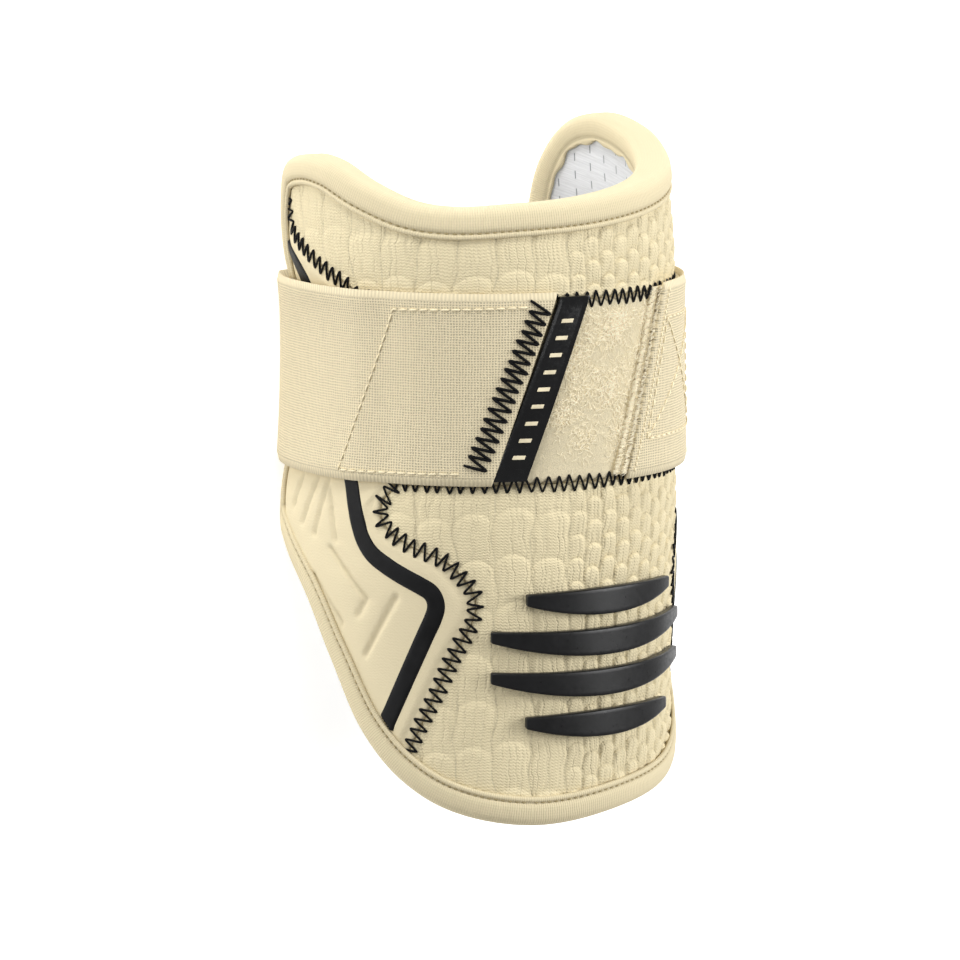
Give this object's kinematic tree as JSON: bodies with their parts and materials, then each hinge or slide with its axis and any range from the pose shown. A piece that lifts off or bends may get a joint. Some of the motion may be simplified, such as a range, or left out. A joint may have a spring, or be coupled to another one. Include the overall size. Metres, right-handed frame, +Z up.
{
  "type": "baseball elbow guard",
  "caption": "Padded elbow guard for a batter: a quilted wall curved round the arm and open at the back, with a bound edge and a wide elastic strap that closes with hook and loop.",
  "frame": {"origin": "on the surface that the guard lies on, under the middle of its bounding box", "axes": "+Z up, towards the front of the guard; +Y along the arm towards the upper arm; +X the side that the strap's hook end comes round"},
  "size_m": [0.1166, 0.1926, 0.0961],
  "materials": {
    "quilted_knit": "matt cream knit over quilted foam",
    "smooth_knit": "matt cream cloth over embossed foam",
    "loop_cloth": "cream brushed loop cloth",
    "binding_tape": "cream ribbed stretch binding",
    "elastic": "cream woven elastic",
    "hook_tape": "cream hook tape",
    "perforated_lining": "white perforated lining",
    "black_rubber": "satin black moulded rubber",
    "black_film": "satin black bonded film"
  },
  "bodies": {
    "root": {"lining": "perforated_lining", "upper_panel": "quilted_knit", "lower_panel": "quilted_knit", "loop_band": "loop_cloth", "left_wing": "smooth_knit", "right_wing": "smooth_knit", "edge_binding": "binding_tape", "elastic_strap": "elastic", "hook_tab": "hook_tape", "label_strip": "black_rubber", "impact_rib_1": "black_rubber", "impact_rib_2": "black_rubber", "impact_rib_3": "black_rubber", "impact_rib_4": "black_rubber", "left_accent_band": "black_film", "right_accent_band": "black_film"}
  },
  "joints": []
}
